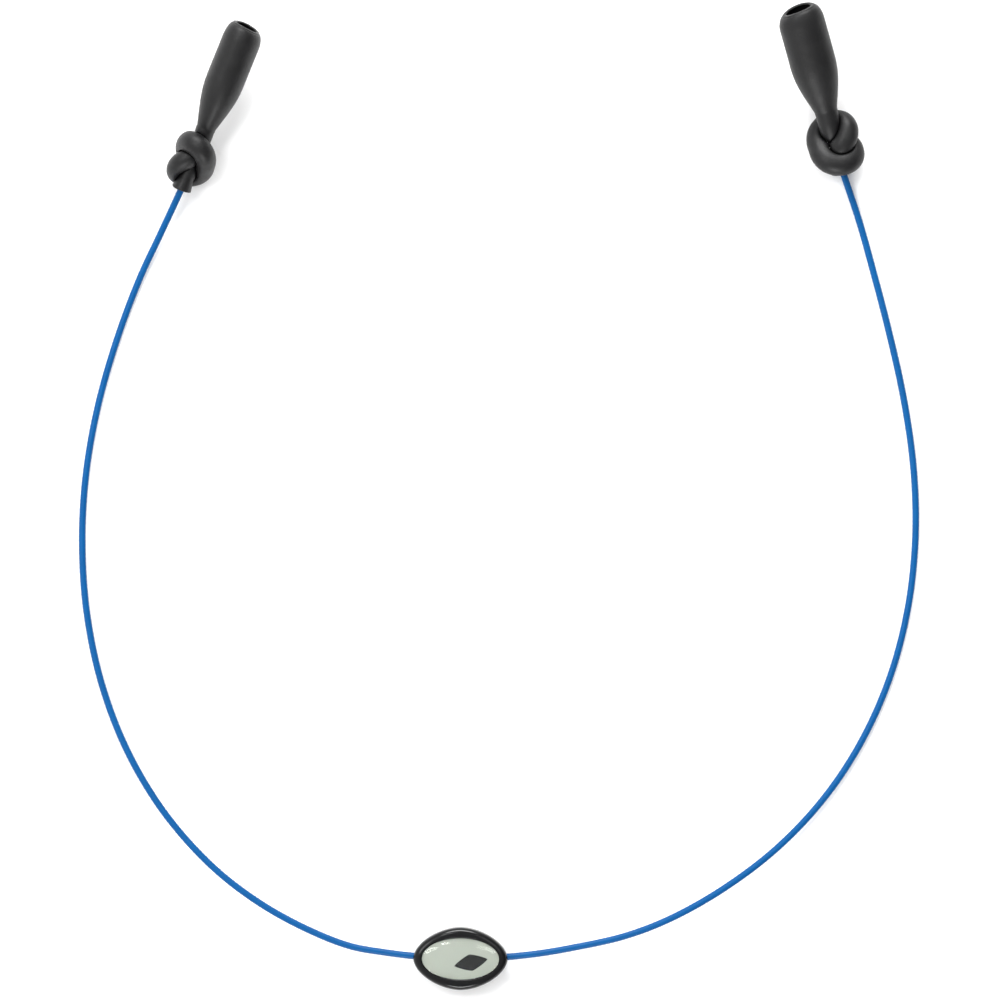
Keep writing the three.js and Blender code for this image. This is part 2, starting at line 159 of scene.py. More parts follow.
def surface(name, grid, first=None, last=None):
    """A mesh through rings of points: quads join each ring to the next, and the first and last
    ring close to the points given, or without them the last ring joins the first.
    The UV map is the angle from 0 to 1 and the distance along the rows in millimetres."""
    rows, sides = grid.shape[:2]
    index = np.arange(rows * sides).reshape(rows, sides)
    places = grid.reshape(-1, 3)
    along = distance_along(grid.mean(axis=1))
    if first is None:
        index = np.vstack([index, index[:1]])
    here, after = index[:-1], index[1:]
    quads = np.stack([here, np.roll(here, -1, 1), np.roll(after, -1, 1), after], axis=-1)
    faces = quads.reshape(-1, 4).tolist()
    if first is not None:
        start, end = rows * sides, rows * sides + 1
        places = np.vstack([places, first, last])
        low, high = index[0], index[-1]
        faces += np.stack([np.full(sides, start), np.roll(low, -1), low], axis=1).tolist()
        faces += np.stack([high, np.roll(high, -1), np.full(sides, end)], axis=1).tolist()
    mesh = bpy.data.meshes.new(name)
    mesh.from_pydata(places.tolist(), [], faces)
    corner = np.zeros(len(mesh.loops), np.int64)
    mesh.loops.foreach_get("vertex_index", corner)
    ring, side = np.minimum(corner // sides, rows - 1), corner % sides
    uv = np.stack([side / sides, along[ring] / MM], axis=1)
    mesh.uv_layers.new(name="UVMap").data.foreach_set("uv", uv.astype(np.float32).ravel())
    mesh.shade_smooth()
    made = bpy.data.objects.new(name, mesh)
    bpy.context.scene.collection.objects.link(made)
    return made


def linear(colour):
    """An sRGB hex colour as linear red, green, blue and alpha."""
    part = np.array([int(colour[i:i + 2], 16) for i in (1, 3, 5)]) / 255
    part = np.where(part > 0.04045, ((part + 0.055) / 1.055) ** 2.4, part / 12.92)
    return (*part.tolist(), 1.0)


def add(tree, kind, values=None, links=None, **settings):
    """Adds a shader node: its properties, the values of its sockets, and what is linked to them."""
    made = tree.nodes.new("ShaderNode" + kind)
    for name, value in settings.items():
        setattr(made, name, value)
    for name, value in (values or {}).items():
        made.inputs[name].default_value = value
    for name, socket in (links or {}).items():
        tree.links.new(socket, made.inputs[name])
    return made


def blank_material(name):
    made = bpy.data.materials.new(name)
    made.use_nodes = True
    made.node_tree.nodes.clear()
    return made, made.node_tree


def extruded_nylon():
    # Nylon 12 drawn over the rope: an even satin skin with faint lines along its length and
    # cloudy patches where the pigment is a little thinner.
    made, tree = blank_material("extruded_nylon")
    place = add(tree, "TexCoord")
    cloud = add(tree, "TexNoise", {"Scale": 1 / (3 * MM), "Detail": 2},
                {"Vector": place.outputs["Object"]})
    colour = add(tree, "MixRGB", {"Color1": linear("#00467d"), "Color2": linear("#00528d")},
                 {"Fac": cloud.outputs["Fac"]})
    stretch = add(tree, "Mapping", {"Scale": (30, 0.4, 1)}, {"Vector": place.outputs["UV"]})
    line = add(tree, "TexNoise", {"Scale": 1, "Detail": 3}, {"Vector": stretch.outputs["Vector"]})
    bump = add(tree, "Bump", {"Strength": 0.5, "Distance": 0.01 * MM},
               {"Height": line.outputs["Fac"]})
    rough = add(tree, "MapRange", {"To Min": 0.28, "To Max": 0.42}, {"Value": line.outputs["Fac"]})
    skin = add(tree, "BsdfPrincipled", {"IOR": 1.53, "Specular IOR Level": 0.14},
               {"Base Color": colour.outputs["Color"], "Roughness": rough.outputs["Result"],
                "Normal": bump.outputs["Normal"]})
    add(tree, "OutputMaterial", links={"Surface": skin.outputs["BSDF"]})
    return made


def cable_path(inside):
    """The cable's line from one grip to the other, with each end running the given way inside."""
    ends = []
    for name in ("left_grip_swivel", "right_grip_swivel"):
        tail, ahead = np.array(joints[name]["pos_m"]), np.array(joints[name]["axis"])
        ends.append([tail + inside * ahead, tail])
    turn = np.radians(ARC_TURNS)
    arc = np.stack([
        ARC_CENTRE[0] + ARC_RADIUS * np.sin(turn),
        ARC_CENTRE[1] - ARC_RADIUS * np.cos(turn),
        np.full(turn.shape, BORE_HEIGHT),
    ], axis=1)
    lift = [0, 0, CABLE_DIAMETER / 2]
    points = np.vstack([ends[0], LEFT_ROUTE + lift, arc, RIGHT_ROUTE + lift, ends[1][::-1]])
    return smooth_run(points, ROUTE_STEPS)


def strand_wave(path, sides, lay, strands):
    """How far each point of a ring is between strands: the cosine of the strands times its angle,
    less the turn that the lay gives at its distance along."""
    angle = 2 * np.pi * np.arange(sides) / sides
    turn = 2 * np.pi * distance_along(path) / lay
    return np.cos(strands * (angle[None, :] - turn[:, None]))


jacket_line = evenly(cable_path(JACKET_END), JACKET_STEP)
jacket_radius = CABLE_DIAMETER / 2 + LAY_RELIEF * (
    strand_wave(jacket_line, CABLE_SIDES, ROPE_LAY, ROPE_STRANDS) - 1)
outside = rings(jacket_line, upright(jacket_line), jacket_radius, CABLE_SIDES)
inside = rings(jacket_line, upright(jacket_line), CABLE_DIAMETER / 2 - JACKET_WALL, CABLE_SIDES)
jacket = surface("nylon_coating", np.concatenate([outside, inside[::-1]]))
jacket.data.materials.append(extruded_nylon())
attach(jacket, "cable")
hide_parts("cable_jacket")

# Wire rope inside the coating. Fine stainless wires are laid up in six strands, bright and
# ridged, and the rope runs on from the coating into a ferrule at each end.
ROPE_DIAMETER = 0.66 * MM
ROPE_END = 2.2 * MM
ROPE_STEP = 0.35 * MM
STRAND_RELIEF = 0.035 * MM


def drawn_steel(name, colour, roughness):
    # Cold-drawn 304 stainless: a grey mirror dulled by fine marks that run along it.
    made, tree = blank_material(name)
    place = add(tree, "TexCoord")
    mark = add(tree, "TexNoise", {"Scale": 1 / (0.12 * MM), "Detail": 4},
               {"Vector": place.outputs["Object"]})
    bump = add(tree, "Bump", {"Strength": 0.4, "Distance": 0.01 * MM},
               {"Height": mark.outputs["Fac"]})
    rough = add(tree, "MapRange", {"To Min": roughness - 0.08, "To Max": roughness + 0.12},
                {"Value": mark.outputs["Fac"]})
    skin = add(tree, "BsdfPrincipled", {"Base Color": linear(colour), "Metallic": 1},
               {"Roughness": rough.outputs["Result"], "Normal": bump.outputs["Normal"]})
    add(tree, "OutputMaterial", links={"Surface": skin.outputs["BSDF"]})
    return made


rope_line = evenly(cable_path(ROPE_END), ROPE_STEP)
rope_radius = ROPE_DIAMETER / 2 + STRAND_RELIEF * (
    strand_wave(rope_line, CABLE_SIDES, ROPE_LAY, ROPE_STRANDS) - 1)
rope_grid = rings(rope_line, upright(rope_line), rope_radius, CABLE_SIDES)
rope = surface("wire_rope", rope_grid, rope_line[0], rope_line[-1])
rope.data.materials.append(drawn_steel("drawn_wire", "#b9bcc0", 0.3))
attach(rope, "cable")
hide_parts("cable_core")

# Ferrules. A short stainless tube is crimped onto each end of the rope, in two rings, and sits
# in a pocket in the grip's tail, so the knotted tube can turn on it but not pull off.
FERRULE_RADIUS = 0.8 * MM
FERRULE_BORE = 0.41 * MM
FERRULE_LENGTH = 1.6 * MM
FERRULE_PLACE = 0.6 * MM
CRIMP_DEPTH = 0.07 * MM
FERRULE_ROUNDING = 0.12 * MM


def placed(grid, swivel):
    """A grid in a grip's own axes, X from its tail to its mouth, Y level across, put in place."""
    ahead = np.array(joints[swivel]["axis"])
    across = np.cross([0, 0, 1], ahead)
    across /= np.linalg.norm(across)
    basis = np.stack([ahead, across, np.cross(ahead, across)])
    return np.array(joints[swivel]["pos_m"]) + grid @ basis


def lathe(radius, place, sides):
    """A profile turned about X: each ring lies at its place with its radius in Y and Z."""
    angle = 2 * np.pi * np.arange(sides) / sides
    radius = np.asarray(radius, float)[:, None]
    across = np.broadcast_to(np.asarray(place, float)[:, None], (len(radius), sides))
    return np.stack([across, radius * np.cos(angle), radius * np.sin(angle)], axis=-1)


def ferrule(side):
    """The outside dips by a squared sine at two places, with rounded ends, and the bore is plain."""
    t = np.linspace(0, 1, 33)
    rounding = FERRULE_ROUNDING * (np.abs(2 * t - 1) ** 12)
    outer = FERRULE_RADIUS - CRIMP_DEPTH * np.sin(2 * np.pi * t) ** 2 - rounding
    radius = np.concatenate([outer, [FERRULE_BORE, FERRULE_BORE]])
    place = FERRULE_PLACE + FERRULE_LENGTH * np.concatenate([t, [1, 0]])
    grid = placed(lathe(radius, place, 32), side + "_grip_swivel")
    made = surface(side + "_crimped_ferrule", grid)
    made.data.materials.append(drawn_steel(side + "_crimped_steel", "#c4c5c7", 0.34))
    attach(made, "cable")
    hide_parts(side + "_ferrule")
    return made


ferrules = [ferrule("left"), ferrule("right")]

# Temple grips. Each is one soft silicone tube, moulded with a flared oval sleeve for the temple
# tip and tied in an overhand knot onto the cable's end: the knot pulls the plain end of the tube
# thin, presses its passes flat on each other, and leaves a short open tail round the cable.
GRIP_LENGTH = 30.4 * MM
SLEEVE_RADIUS = 4.0 * MM
FLATNESS = 0.83
SLEEVE_WALL = 0.85 * MM
SOCKET_DEPTH = 14 * MM
SOCKET_TIP = 1.5 * MM
RIM_RADIUS = 2.9 * MM
RIM_LENGTH = 2.6 * MM
RIM_BOW = 0.03 / MM  # the mouth's edge curves back towards both sides
SLANT_REACH = 7 * MM
NECK_RADIUS = 2.0 * MM
NECK_PLACE = 11.5 * MM
SHOULDER_LENGTH = 9 * MM
SHOULDER_EASE = 1.2
KNOT_TUBE = 2.7 * MM  # spacing of the knot's passes
KNOT_PLACE = 5.3 * MM
KNOT_SWELL = 1.92 * MM  # the tube's radius in the knot wherever no other pass presses on it
KNOT_FILL = 0.5 * MM  # it swells this much more towards the knot's middle
TAIL_RADIUS = 2.1 * MM
TAIL_BORE = 0.72 * MM
FUNNEL_RADIUS = 1.4 * MM
FUNNEL_DEPTH = 0.6 * MM
POCKET_BORE = 0.92 * MM
POCKET = (0.9 * MM, 2.3 * MM)
PASS_SHARE = 0.985  # of the room to the next pass that the knot's skin takes up
KNOT_STEP = 0.13 * MM
GRIP_SIDES = 72
GRIP_TURNS = {  # the oval's turn, the knot's before it, and how far off square the mouth is
    "left": (80, 100, -6),
    "right": (0, 0, 6),
}
HALF_KNOT = np.array([
    [0, 1.06, 0],
    [-0.42, 1.02, 0.54],
    [-0.84, 0.72, 0.98],
    [-1.14, 0.18, 1.1],
    [-1.22, -0.44, 0.92],
    [-1.08, -0.86, 0.44],
    [-0.72, -0.98, -0.12],
    [-0.24, -0.74, -0.48],
    [0.2, -0.3, -0.53],
    [0.66, 0.0, -0.19],
    [1.3, 0.02, 0],
])


def turned_x(points, degrees):
    """Points turned about X: the cosine and sine of the angle mix Y and Z."""
    c, s = math.cos(math.radians(degrees)), math.sin(math.radians(degrees))
    return points @ np.array([[1, 0, 0], [0, c, s], [0, -s, c]])


def carried_normals(path):
    """Normals that turn with the path and never about it: each is the one before, less its part
    along the new direction."""
    ahead = tangents(path)
    normal = [np.array([0.0, 1.0, 0.0])]
    for direction in ahead[1:]:
        kept = normal[-1] - (normal[-1] @ direction) * direction
        normal.append(kept / np.linalg.norm(kept))
    return np.array(normal)


def knot_line(turn):
    """The tube's line from its tail at X = 0 through the knot to the neck: half of the knot and
    the same half turned over about Y, then the straight neck."""
    half = HALF_KNOT * KNOT_TUBE
    other = (half * [-1, 1, -1])[:0:-1]
    knot = turned_x(np.vstack([other, half]), turn) + [KNOT_PLACE, 0, 0]
    ends = np.array([[0, 0, 0], [NECK_PLACE - 0.6 * MM, 0, 0], [NECK_PLACE, 0, 0]])
    return evenly(smooth_run(np.vstack([ends[:1], knot, ends[1:]]), 16), KNOT_STEP)


def room(path, normal, sides):
    """How far each point of a ring may stand off the line before it meets another pass: the least,
    over all points of the line, of the squared distance to it over twice its part that way, which
    is where the plane half-way to that point is crossed."""
    out = rings(path, normal, 1.0, sides) - path[:, None]
    gap = path[None] - path[:, None]
    part = np.einsum("isk,ijk->isj", out, gap)
    square = (gap**2).sum(-1)[:, None]
    far = np.where(part > 1e-7, square / (2 * np.maximum(part, 1e-7)), 1)
    return far.min(-1)


def softened(radius, limit, power=14):
    """The lesser of two lengths with its corner rounded: the power mean of a large minus power."""
    return (radius**-power + limit**-power) ** (-1 / power)


def sleeve_radius(place):
    """Half-width of the sleeve: it swells from the neck along a bowed ramp that starts gently, and
    closes in to the rim along a quarter of an ellipse."""
    t = np.clip((place - NECK_PLACE) / SHOULDER_LENGTH, 0, 1)
    full = NECK_RADIUS + (SLEEVE_RADIUS - NECK_RADIUS) * (1 - (1 - t**SHOULDER_EASE) ** 2)
    to_rim = np.clip((place - GRIP_LENGTH + RIM_LENGTH) / RIM_LENGTH, 0, 1)
    return full - (SLEEVE_RADIUS - RIM_RADIUS) * (1 - np.sqrt(1 - to_rim**2))


def grip_grid(knot_turn):
    """One skin from the blind end of the tail's bore out over the tail, through the knot, up the
    sleeve, round the rim and down to the blind end of the socket. Sections are round, but in the
    knot they swell by the squared cosine of the angle to its middle and stop at the next pass."""
    line = knot_line(knot_turn)
    share = distance_along(line) / distance_along(line)[-1]
    thick = np.interp(share, [0, 0.05, 0.11, 0.9, 1],
                      [TAIL_RADIUS, 1.6 * MM, KNOT_SWELL, KNOT_SWELL, NECK_RADIUS])
    normal = carried_normals(line)
    out = rings(line, normal, 1.0, GRIP_SIDES) - line[:, None]
    inward = np.array([KNOT_PLACE, 0, 0]) - line
    inward = inward / np.linalg.norm(inward, axis=1)[:, None]
    pressed = np.clip(np.einsum("isk,ik->is", out, inward), 0, 1)
    limit = PASS_SHARE * room(line, normal, GRIP_SIDES)
    radius = softened(thick[:, None] + KNOT_FILL * pressed**2, limit)
    knot = rings(line, normal, radius, GRIP_SIDES)
    twist = math.atan2(normal[-1, 2], normal[-1, 1])

    lip = 0.2 * MM
    bore = lathe([POCKET_BORE, POCKET_BORE, TAIL_BORE, TAIL_BORE, FUNNEL_RADIUS, TAIL_RADIUS - lip],
                 [POCKET[1], POCKET[0], POCKET[0] - 0.05 * MM, FUNNEL_DEPTH, 0.05 * MM, -0.04 * MM],
                 GRIP_SIDES)

    straight = np.linspace(NECK_PLACE, GRIP_LENGTH - RIM_LENGTH, 120)[1:]
    turn_in = GRIP_LENGTH - RIM_LENGTH * (1 - np.sin(np.linspace(0, 0.46 * np.pi, 24)[1:]))
    place = np.concatenate([straight, turn_in])
    radius = sleeve_radius(place)
    round_rim = np.linspace(0, np.pi, 11)[1:-1]
    rim_radius = radius[-1] - SLEEVE_WALL / 2 * (1 - np.cos(round_rim))
    rim_place = place[-1] + 0.5 * (SLEEVE_WALL / 2) * np.sin(round_rim)
    down = np.linspace(place[-1], place[-1] - SOCKET_DEPTH, 60)
    hollow = sleeve_radius(down) - SLEEVE_WALL
    blind = np.linspace(0, np.pi / 2, 8)[1:-1]
    blind_radius = hollow[-1] * np.cos(blind)
    blind_place = down[-1] - SOCKET_TIP * np.sin(blind)
    sleeve = lathe(np.concatenate([radius, rim_radius, hollow, blind_radius]),
                   np.concatenate([place, rim_place, down, blind_place]), GRIP_SIDES)
    tip = np.array([down[-1] - SOCKET_TIP, 0, 0])

    # The rings of the sleeve start at the knot's own angle, so that the skin isn't twisted there.
    sleeve = turned_x(sleeve, math.degrees(twist))
    start = np.array([POCKET[1], 0, 0])
    return np.concatenate([bore, knot[1:], sleeve]), start, tip


def shaped(grid, turn, slant):
    """The round skin made oval and turned about X, then its mouth set askew: near the mouth each
    point moves back by the slant times its Y and by the bow times its Y squared."""
    grid = turned_x(grid * [1, 1, FLATNESS], turn)
    near = np.clip((grid[..., 0] - GRIP_LENGTH) / SLANT_REACH + 1, 0, 1) ** 2
    slope = math.tan(math.radians(slant))
    grid[..., 0] -= near * (slope * grid[..., 1] + RIM_BOW * grid[..., 1] ** 2)
    return grid


def moulded_silicone():
    # Liquid silicone rubber from a fine-blasted mould: charcoal, soft and satin, with a skin of
    # tiny pits, faint flow marks and a little dust caught in it.
    made, tree = blank_material("moulded_silicone")
    place = add(tree, "TexCoord").outputs["Object"]
    pits = add(tree, "TexNoise", {"Scale": 1 / (0.22 * MM), "Detail": 3}, {"Vector": place})
    flow = add(tree, "TexNoise", {"Scale": 1 / (2.6 * MM), "Detail": 3}, {"Vector": place})
    colour = add(tree, "MixRGB", {"Color1": linear("#070708"), "Color2": linear("#131314")},
                 {"Fac": flow.outputs["Fac"]})
    height = add(tree, "Math", {1: 3.0}, {0: flow.outputs["Fac"]}, operation="MULTIPLY")
    height = add(tree, "Math", links={0: height.outputs[0], 1: pits.outputs["Fac"]},
                 operation="ADD")
    bump = add(tree, "Bump", {"Strength": 0.6, "Distance": 0.05 * MM},
               {"Height": height.outputs[0]})
    rough = add(tree, "MapRange", {"To Min": 0.36, "To Max": 0.56}, {"Value": flow.outputs["Fac"]})
    skin = add(tree, "BsdfPrincipled", {"IOR": 1.43, "Specular IOR Level": 0.4},
               {"Base Color": colour.outputs["Color"], "Roughness": rough.outputs["Result"],
                "Normal": bump.outputs["Normal"]})
    add(tree, "OutputMaterial", links={"Surface": skin.outputs["BSDF"]})
    return made


silicone = moulded_silicone()
for side, (oval_turn, knot_turn, slant) in GRIP_TURNS.items():
    skin_grid, bore_end, socket_end = grip_grid(knot_turn)
    swivel = side + "_grip_swivel"
    skin_grid = placed(shaped(skin_grid, oval_turn, slant), swivel)
    skin_grid[..., 2] = np.maximum(skin_grid[..., 2], 0.03 * MM)
    grip = surface(side + "_knotted_grip", skin_grid, placed(bore_end, swivel),
                   placed(turned_x(socket_end, oval_turn), swivel))
    grip.data.materials.append(silicone)
    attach(grip, side + "_grip")
    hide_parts(side + "_grip")

# Medallion's shells. Two glossy black ABS mouldings, split level with the cable, press together
# on two pegs over the cable and its bush. The front one has a recess for the face.
BEAD_LENGTH = 16.3 * MM
BEAD_WIDTH = 10.8 * MM
BEAD_EDGE = 1.05 * MM
FRONT_HEIGHT = 2.7 * MM
FACE_LENGTH = 13.4 * MM
FACE_WIDTH = 7.2 * MM
FACE_RECESS = 0.85 * MM
FACE_LIP = 0.18 * MM  # rounding of the recess's edge
SPLIT_GAP = 0.06 * MM
SEAM_EDGE = 0.1 * MM
BORE_RADIUS = 1.1 * MM
BORE_FLARE = 0.35 * MM
FLARE_LENGTH = 1.4 * MM
BUSH_RADIUS = 1.25 * MM
BUSH_LENGTH = 5 * MM
BUSH_CLEARANCE = 0.1 * MM
PEG_RADIUS = 0.55 * MM
PEG_HEIGHT = 1.0 * MM
PEG_CLEARANCE = 0.12 * MM
PEG_DOME = 0.3 * MM
PEG_ROOT = -1 * MM  # each peg starts this far down in the back shell
PEG_PLACES = np.array([[2.8, 3.2], [-2.8, -3.2]]) * MM
OVAL_SIDES = 160
CREASE = math.radians(32)  # edges sharper than this stay crisp
BEAD_POWER = 1.75
FACE_POWER = 2


def stacked(levels, length, width, power):
    """Ovals of a length and width, each shrunk by an inset and set at a height: cosine and sine
    of even angles are raised to two over the power, so that below two the ends are pointed."""
    angle = 2 * np.pi * np.arange(OVAL_SIDES) / OVAL_SIDES
    c, s = np.cos(angle), np.sin(angle)
    inset, height = np.array(levels, float).T[:, :, None]
    x = (length / 2 - inset) * np.sign(c) * np.abs(c) ** (2 / power)
    y = (width / 2 - inset) * np.sign(s) * np.abs(s) ** (2 / power)
    return np.stack([x, y, np.broadcast_to(height, x.shape)], axis=-1)


def quarter(inset, height, radius, rising):
    """A quarter round of an edge as insets and heights, from its side to its top or back."""
    angle = np.linspace(0, np.pi / 2, 9)
    turn = [inset + radius * (1 - np.cos(angle)), height - radius * (1 - np.sin(angle))]
    levels = np.stack(turn, axis=1)
    return (levels if rising else levels[::-1]).tolist()


def on_cable(grid):
    """A grid in the medallion's axes, X along the cable and Z up, put in its place."""
    spin = joints["bead_spin"]
    ahead = np.array(spin["axis"])
    basis = np.stack([ahead, np.cross([0, 0, 1], ahead), [0, 0, 1]])
    return np.array(spin["pos_m"]) + grid @ basis


def worked(target, tool, operation):
    """Cuts the tool from the target, or joins it on, and removes the tool."""
    modifier = target.modifiers.new("work", "BOOLEAN")
    modifier.operation, modifier.object, modifier.solver = operation, tool, "EXACT"
    graph = bpy.context.evaluated_depsgraph_get()
    target.data = bpy.data.meshes.new_from_object(target.evaluated_get(graph))
    target.modifiers.clear()
    bpy.data.objects.remove(tool)


def channel():
    """The hollow for cable and bush: a bore with a wider pocket in the middle. Towards each mouth
    it flares by the square of the share of its last stretch that is passed."""
    reach, half = BEAD_LENGTH / 2 + 1 * MM, BUSH_LENGTH / 2 + BUSH_CLEARANCE
    t = np.linspace(0, 1, 12)
    side = half + (reach - half) * t
    passed = np.clip((side - BEAD_LENGTH / 2 + FLARE_LENGTH) / FLARE_LENGTH, 0, 1.4)
    flare = BORE_RADIUS + BORE_FLARE * passed**2
    pocket = BUSH_RADIUS + BUSH_CLEARANCE
    radius = np.concatenate([flare[::-1], [pocket, pocket], flare])
    place = np.concatenate([-side[::-1], [-half, half], side])
    return surface("tool", on_cable(lathe(radius, place, 64)),
                   on_cable(np.array([-reach, 0, 0])), on_cable(np.array([reach, 0, 0])))


def peg(place, radius, low, high):
    """A round peg with a domed end, from one height to another."""
    angle = np.linspace(0, np.pi / 2, 6)[:-1]
    rise = np.concatenate([[low], high - PEG_DOME * (1 - np.sin(angle))])
    size = np.concatenate([[radius], radius - PEG_DOME * (1 - np.cos(angle))])
    grid = np.roll(lathe(size, rise, 32), -1, axis=-1) + [*place, 0]
    return surface("tool", on_cable(grid), on_cable(np.array([*place, low])),
                   on_cable(np.array([*place, high])))


def polished_abs():
    # Injection-moulded ABS from a polished mould: near black, mirror-like with a slight ripple,
    # and fine rubbed scratches that only dull the gloss.
    made, tree = blank_material("polished_abs")
    place = add(tree, "TexCoord").outputs["Object"]
    ripple = add(tree, "TexNoise", {"Scale": 1 / (1.6 * MM), "Detail": 1}, {"Vector": place})
    rub = add(tree, "TexNoise", {"Scale": 1 / (0.3 * MM), "Detail": 5}, {"Vector": place})
    bump = add(tree, "Bump", {"Strength": 0.25, "Distance": 0.02 * MM},
               {"Height": ripple.outputs["Fac"]})
    rough = add(tree, "MapRange", {"To Min": 0.08, "To Max": 0.24}, {"Value": rub.outputs["Fac"]})
    colour = add(tree, "MixRGB", {"Color1": linear("#020203"), "Color2": linear("#060608")},
                 {"Fac": ripple.outputs["Fac"]})
    skin = add(tree, "BsdfPrincipled", {"IOR": 1.5, "Specular IOR Level": 0.27},
               {"Base Color": colour.outputs["Color"], "Roughness": rough.outputs["Result"],
                "Normal": bump.outputs["Normal"]})
    add(tree, "OutputMaterial", links={"Surface": skin.outputs["BSDF"]})
    return made


def bead_part(name, grid, low, high, node, material):
    """A closed stack of ovals from the middle of its underside to the middle of its top."""
    ends = [on_cable(np.array([0, 0, height])) for height in (low, high)]
    made = surface(name, on_cable(grid), *ends)
    made.data.materials.append(material)
    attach(made, "medallion")
    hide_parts(node)
    return made


abs_plastic = polished_abs()
split = SPLIT_GAP / 2
floor_of_recess = FRONT_HEIGHT - FACE_RECESS
outer_levels = [
    [BEAD_WIDTH / 4, split],
    [SEAM_EDGE, split],
    [0, split + SEAM_EDGE],
    *quarter(0, FRONT_HEIGHT, BEAD_EDGE, True),
]
recess_levels = [[-inset, height] for inset, height in quarter(0, FRONT_HEIGHT, FACE_LIP, False)]
recess_levels += [[0, floor_of_recess], [FACE_WIDTH / 3, floor_of_recess]]
front_grid = np.concatenate([
    stacked(outer_levels, BEAD_LENGTH, BEAD_WIDTH, BEAD_POWER),
    stacked(recess_levels, FACE_LENGTH, FACE_WIDTH, FACE_POWER),
])
front = bead_part("medallion_front", front_grid, split, floor_of_recess, "bead_front_shell",
                  abs_plastic)
back_levels = [
    [BEAD_WIDTH / 3, 0],
    *quarter(0, 0, BEAD_EDGE, False),
    [0, BORE_HEIGHT - split - SEAM_EDGE],
    [SEAM_EDGE, BORE_HEIGHT - split],
    [BEAD_WIDTH / 4, BORE_HEIGHT - split],
]
back_levels = [[i, abs(h) - BORE_HEIGHT] for i, h in back_levels]
back_grid = stacked(back_levels, BEAD_LENGTH, BEAD_WIDTH, BEAD_POWER)
back = bead_part("medallion_back", back_grid, -BORE_HEIGHT, -split, "bead_back_shell",
                 abs_plastic)
for place in PEG_PLACES:
    hole = peg(place, PEG_RADIUS + PEG_CLEARANCE, PEG_ROOT, PEG_HEIGHT + PEG_CLEARANCE)
    worked(front, hole, "DIFFERENCE")
    worked(back, peg(place, PEG_RADIUS, PEG_ROOT, PEG_HEIGHT), "UNION")
for shell in (front, back):
    worked(shell, channel(), "DIFFERENCE")
    shell.data.set_sharp_from_angle(angle=CREASE)

# Face plate and mark. A pale grey-green printed plate lies in the recess, and a plain dark
# lozenge is inlaid in it, off its middle.
FACE_GAP = 0.06 * MM
FACE_THICKNESS = 0.4 * MM
MARK_LENGTH = 5.8 * MM
MARK_WIDTH = 2.8 * MM
MARK_POWER = 1.2
MARK_DEPTH = 0.22 * MM
MARK_PLACE = np.array([1.8, -0.6, 0]) * MM
MARK_TURN = math.radians(12)


def printed_plate():
    # Screen print on a thin sheet: flat pale ink with a barely visible grain of its mesh.
    made, tree = blank_material("printed_plate")
    place = add(tree, "TexCoord").outputs["Object"]
    grain = add(tree, "TexNoise", {"Scale": 1 / (0.15 * MM), "Detail": 2}, {"Vector": place})
    cloud = add(tree, "TexNoise", {"Scale": 1 / (4 * MM), "Detail": 1}, {"Vector": place})
    colour = add(tree, "MixRGB", {"Color1": linear("#b9bdb8"), "Color2": linear("#c5c8c2")},
                 {"Fac": cloud.outputs["Fac"]})
    bump = add(tree, "Bump", {"Strength": 0.3, "Distance": 0.01 * MM},
               {"Height": grain.outputs["Fac"]})
    skin = add(tree, "BsdfPrincipled", {"IOR": 1.5, "Roughness": 0.5},
               {"Base Color": colour.outputs["Color"], "Normal": bump.outputs["Normal"]})
    add(tree, "OutputMaterial", links={"Surface": skin.outputs["BSDF"]})
    return made


def printing_ink():
    # Thick black ink, levelled as it dried: dark, satin, a little uneven.
    made, tree = blank_material("printing_ink")
    place = add(tree, "TexCoord").outputs["Object"]
    uneven = add(tree, "TexNoise", {"Scale": 1 / (0.5 * MM), "Detail": 2}, {"Vector": place})
    colour = add(tree, "MixRGB", {"Color1": linear("#030407"), "Color2": linear("#0c0f16")},
                 {"Fac": uneven.outputs["Fac"]})
    skin = add(tree, "BsdfPrincipled", {"IOR": 1.5, "Specular IOR Level": 0.1, "Roughness": 0.35},
               {"Base Color": colour.outputs["Color"]})
    add(tree, "OutputMaterial", links={"Surface": skin.outputs["BSDF"]})
    return made


def mark_grid(grow, low, high):
    """The lozenge as a stack of pointed ovals, turned and moved to its place on the plate."""
    levels = [[MARK_WIDTH / 4, low], [-grow, low], [-grow, high], [MARK_WIDTH / 4, high]]
    grid = stacked(levels, MARK_LENGTH, MARK_WIDTH, MARK_POWER)
    c, s = math.cos(MARK_TURN), math.sin(MARK_TURN)
    return grid @ np.array([[c, s, 0], [-s, c, 0], [0, 0, 1]]) + MARK_PLACE


plate_low = floor_of_recess + FACE_GAP
plate_high = plate_low + FACE_THICKNESS
plate_levels = [
    [FACE_WIDTH / 4, plate_low],
    [FACE_GAP, plate_low],
    [FACE_GAP, plate_high - 0.05 * MM],
    [FACE_GAP + 0.05 * MM, plate_high],
    [FACE_WIDTH / 4, plate_high],
]
plate_grid = stacked(plate_levels, FACE_LENGTH, FACE_WIDTH, FACE_POWER)
plate = bead_part("face_plate", plate_grid, plate_low, plate_high, "bead_face_plate",
                  printed_plate())
mark_low = plate_high - MARK_DEPTH
for name, grow, low, high in [
    ("tool", FACE_GAP / 2, mark_low - FACE_GAP / 2, plate_high + 1 * MM),
    ("face_mark", 0, mark_low, plate_high - 0.01 * MM),
]:
    ends = [on_cable(MARK_PLACE + [0, 0, h]) for h in (low, high)]
    made = surface(name, on_cable(mark_grid(grow, low, high)), *ends)
    if name == "tool":
        worked(plate, made, "DIFFERENCE")
made.data.materials.append(printing_ink())
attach(made, "medallion")
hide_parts("bead_motif")
for flat in (plate, made):
    flat.data.set_sharp_from_angle(angle=CREASE)

